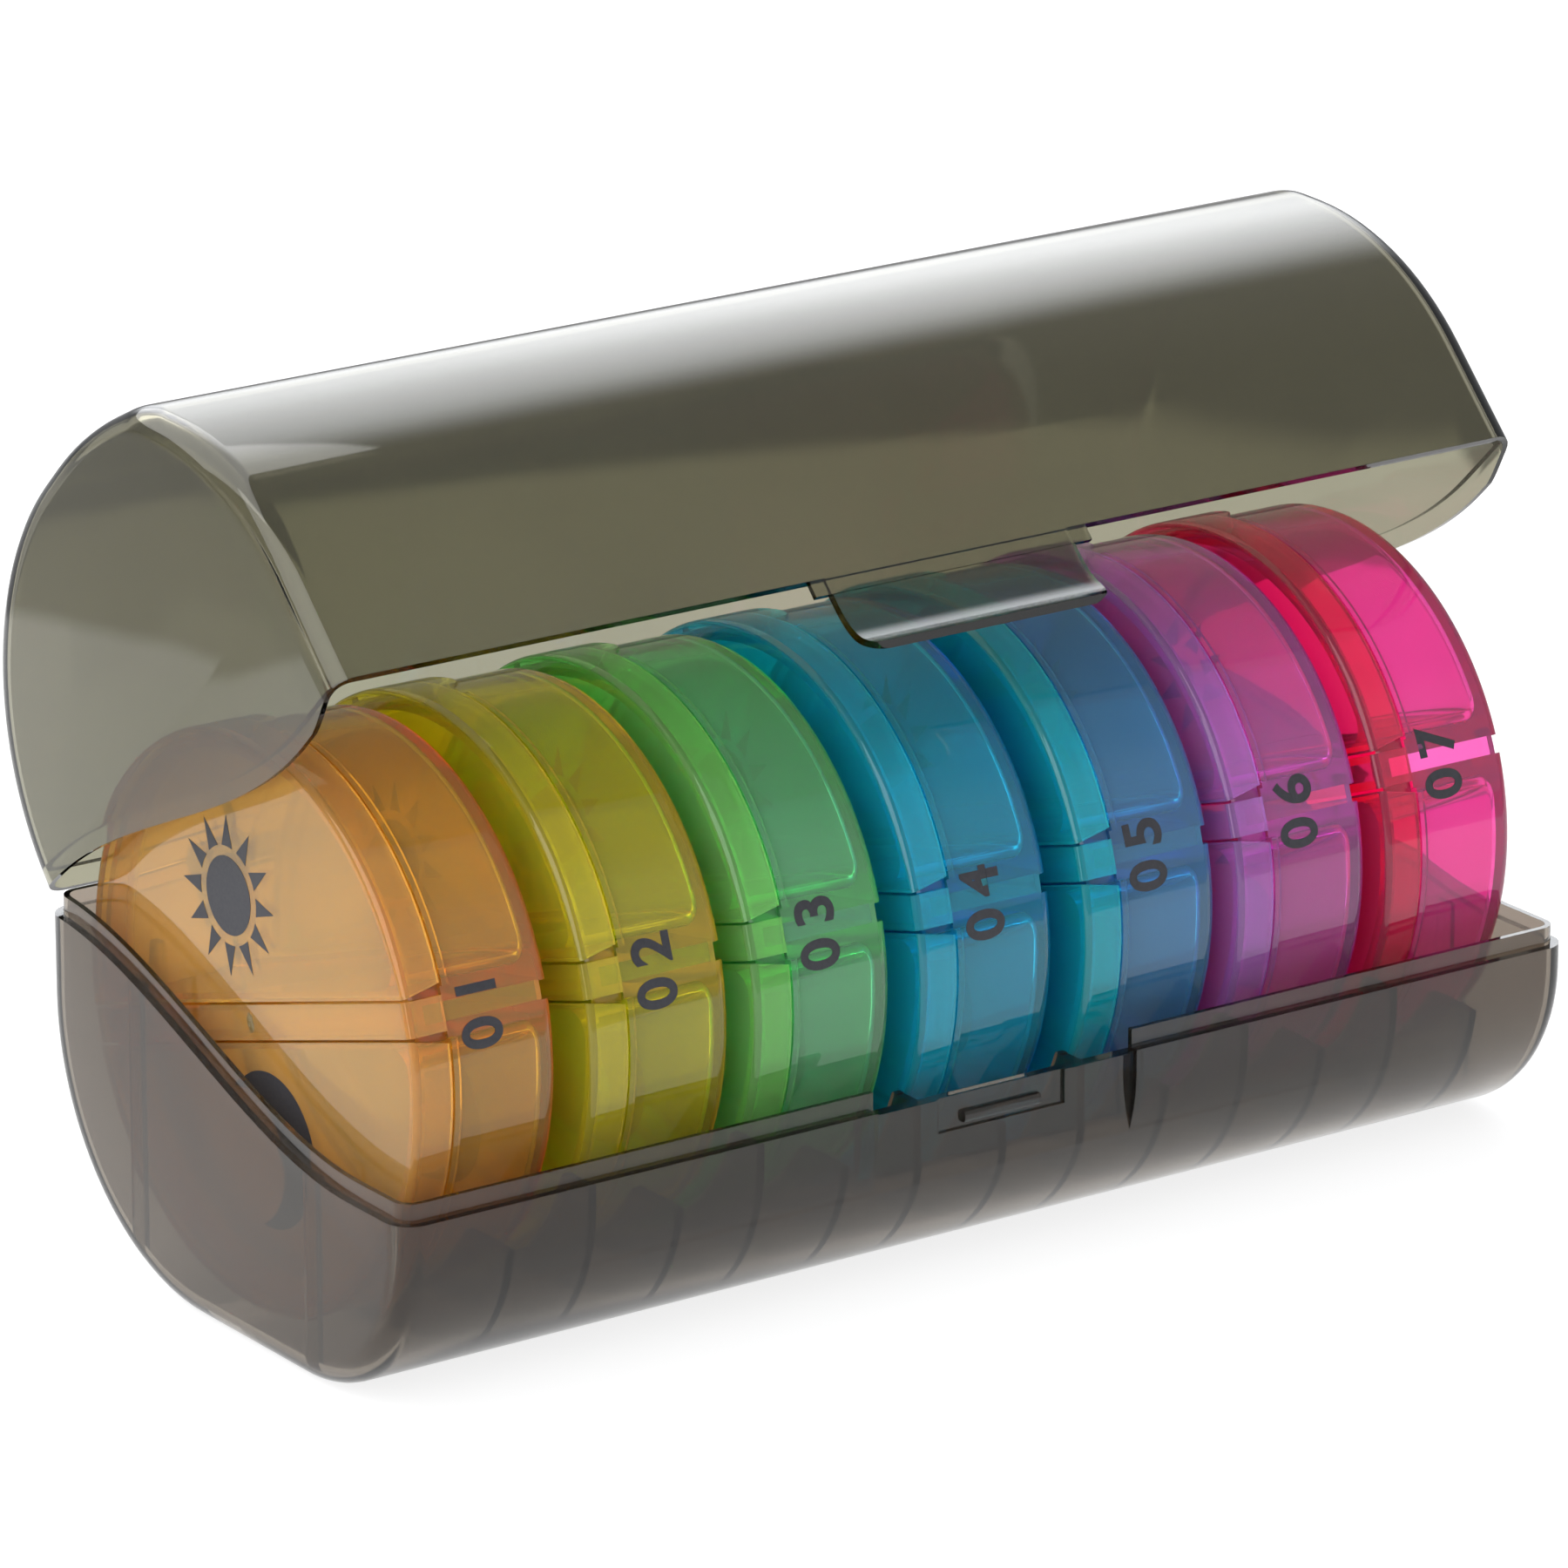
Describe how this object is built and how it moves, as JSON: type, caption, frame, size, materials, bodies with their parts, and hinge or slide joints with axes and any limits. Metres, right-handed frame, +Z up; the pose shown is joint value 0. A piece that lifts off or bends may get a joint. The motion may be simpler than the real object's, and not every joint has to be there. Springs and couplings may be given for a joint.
{
  "type": "travel pill organizer",
  "caption": "Clear hinged travel case with a row of round day boxes, each with an upper and a lower pill compartment under its own snap cap.",
  "frame": {"origin": "on the flat underside, straight below the axis that the round day boxes share, halfway along the case", "axes": "+X along the row from Monday to Sunday, -Y towards the latch at the front, +Z up"},
  "size_m": [0.1534, 0.0791, 0.0983],
  "materials": {
    "smoke_plastic": "clear, tinted smoke grey",
    "mon_plastic": "clear, tinted",
    "tue_plastic": "clear, tinted",
    "wed_plastic": "clear, tinted",
    "thu_plastic": "clear, tinted",
    "fri_plastic": "clear, tinted",
    "sat_plastic": "clear, tinted",
    "sun_plastic": "clear, tinted"
  },
  "bodies": {
    "base": {"case_base": "smoke_plastic"},
    "lid": {"case_lid": "smoke_plastic"},
    "mon_box": {"mon_cup": "mon_plastic", "mon_cap_bar": "mon_plastic"},
    "mon_am_cap": {"mon_am_lid": "mon_plastic"},
    "mon_pm_cap": {"mon_pm_lid": "mon_plastic"},
    "tue_box": {"tue_cup": "tue_plastic", "tue_cap_bar": "tue_plastic"},
    "tue_am_cap": {"tue_am_lid": "tue_plastic"},
    "tue_pm_cap": {"tue_pm_lid": "tue_plastic"},
    "wed_box": {"wed_cup": "wed_plastic", "wed_cap_bar": "wed_plastic"},
    "wed_am_cap": {"wed_am_lid": "wed_plastic"},
    "wed_pm_cap": {"wed_pm_lid": "wed_plastic"},
    "thu_box": {"thu_cup": "thu_plastic", "thu_cap_bar": "thu_plastic"},
    "thu_am_cap": {"thu_am_lid": "thu_plastic"},
    "thu_pm_cap": {"thu_pm_lid": "thu_plastic"},
    "fri_box": {"fri_cup": "fri_plastic", "fri_cap_bar": "fri_plastic"},
    "fri_am_cap": {"fri_am_lid": "fri_plastic"},
    "fri_pm_cap": {"fri_pm_lid": "fri_plastic"},
    "sat_box": {"sat_cup": "sat_plastic", "sat_cap_bar": "sat_plastic"},
    "sat_am_cap": {"sat_am_lid": "sat_plastic"},
    "sat_pm_cap": {"sat_pm_lid": "sat_plastic"},
    "sun_box": {"sun_cup": "sun_plastic", "sun_cap_bar": "sun_plastic"},
    "sun_am_cap": {"sun_am_lid": "sun_plastic"},
    "sun_pm_cap": {"sun_pm_lid": "sun_plastic"}
  },
  "joints": [
    {"name": "case_lid_hinge", "type": "hinge", "parent": "base", "child": "lid", "pos_m": [0, 0.0357, 0.0379], "axis": [-1, 0, 0], "range_deg": [-44.5, 65.5]},
    {"name": "mon_lift", "type": "slide", "parent": "base", "child": "mon_box", "axis": [0, 0, 1], "range_m": [0, 0.018]},
    {"name": "mon_am_hinge", "type": "hinge", "parent": "mon_box", "child": "mon_am_cap", "pos_m": [-0.07222, 0.00058, 0.03595], "axis": [0, -0.9583, 0.2857], "range_deg": [0, 4]},
    {"name": "mon_pm_hinge", "type": "hinge", "parent": "mon_box", "child": "mon_pm_cap", "pos_m": [-0.07222, -0.00058, 0.03205], "axis": [0, 0.9583, -0.2857], "range_deg": [0, 4]},
    {"name": "tue_lift", "type": "slide", "parent": "base", "child": "tue_box", "axis": [0, 0, 1], "range_m": [0, 0.018]},
    {"name": "tue_am_hinge", "type": "hinge", "parent": "tue_box", "child": "tue_am_cap", "pos_m": [-0.05053, 0.00057, 0.03595], "axis": [0, -0.9603, 0.279], "range_deg": [0, 4]},
    {"name": "tue_pm_hinge", "type": "hinge", "parent": "tue_box", "child": "tue_pm_cap", "pos_m": [-0.05053, -0.00057, 0.03205], "axis": [0, 0.9603, -0.279], "range_deg": [0, 4]},
    {"name": "wed_lift", "type": "slide", "parent": "base", "child": "wed_box", "axis": [0, 0, 1], "range_m": [0, 0.018]},
    {"name": "wed_am_hinge", "type": "hinge", "parent": "wed_box", "child": "wed_am_cap", "pos_m": [-0.02985, 0.00057, 0.03595], "axis": [0, -0.9593, 0.2823], "range_deg": [0, 4]},
    {"name": "wed_pm_hinge", "type": "hinge", "parent": "wed_box", "child": "wed_pm_cap", "pos_m": [-0.02985, -0.00057, 0.03205], "axis": [0, 0.9593, -0.2823], "range_deg": [0, 4]},
    {"name": "thu_lift", "type": "slide", "parent": "base", "child": "thu_box", "axis": [0, 0, 1], "range_m": [0, 0.018]},
    {"name": "thu_am_hinge", "type": "hinge", "parent": "thu_box", "child": "thu_am_cap", "pos_m": [-0.00854, 0.00051, 0.03596], "axis": [0, -0.9677, 0.2521], "range_deg": [0, 4]},
    {"name": "thu_pm_hinge", "type": "hinge", "parent": "thu_box", "child": "thu_pm_cap", "pos_m": [-0.00854, -0.00051, 0.03204], "axis": [0, 0.9677, -0.2521], "range_deg": [0, 4]},
    {"name": "fri_lift", "type": "slide", "parent": "base", "child": "fri_box", "axis": [0, 0, 1], "range_m": [0, 0.018]},
    {"name": "fri_am_hinge", "type": "hinge", "parent": "fri_box", "child": "fri_am_cap", "pos_m": [0.01319, 0.00058, 0.03594], "axis": [0, -0.9578, 0.2874], "range_deg": [0, 4]},
    {"name": "fri_pm_hinge", "type": "hinge", "parent": "fri_box", "child": "fri_pm_cap", "pos_m": [0.01319, -0.00058, 0.03206], "axis": [0, 0.9578, -0.2874], "range_deg": [0, 4]},
    {"name": "sat_lift", "type": "slide", "parent": "base", "child": "sat_box", "axis": [0, 0, 1], "range_m": [0, 0.018]},
    {"name": "sat_am_hinge", "type": "hinge", "parent": "sat_box", "child": "sat_am_cap", "pos_m": [0.03375, 0.00063, 0.03593], "axis": [0, -0.95, 0.3123], "range_deg": [0, 4]},
    {"name": "sat_pm_hinge", "type": "hinge", "parent": "sat_box", "child": "sat_pm_cap", "pos_m": [0.03375, -0.00063, 0.03207], "axis": [0, 0.95, -0.3123], "range_deg": [0, 4]},
    {"name": "sun_lift", "type": "slide", "parent": "base", "child": "sun_box", "axis": [0, 0, 1], "range_m": [0, 0.018]},
    {"name": "sun_am_hinge", "type": "hinge", "parent": "sun_box", "child": "sun_am_cap", "pos_m": [0.054, 0.00074, 0.03589], "axis": [0, -0.9317, 0.3633], "range_deg": [0, 4]},
    {"name": "sun_pm_hinge", "type": "hinge", "parent": "sun_box", "child": "sun_pm_cap", "pos_m": [0.054, -0.00074, 0.03211], "axis": [0, 0.9317, -0.3633], "range_deg": [0, 4]}
  ]
}
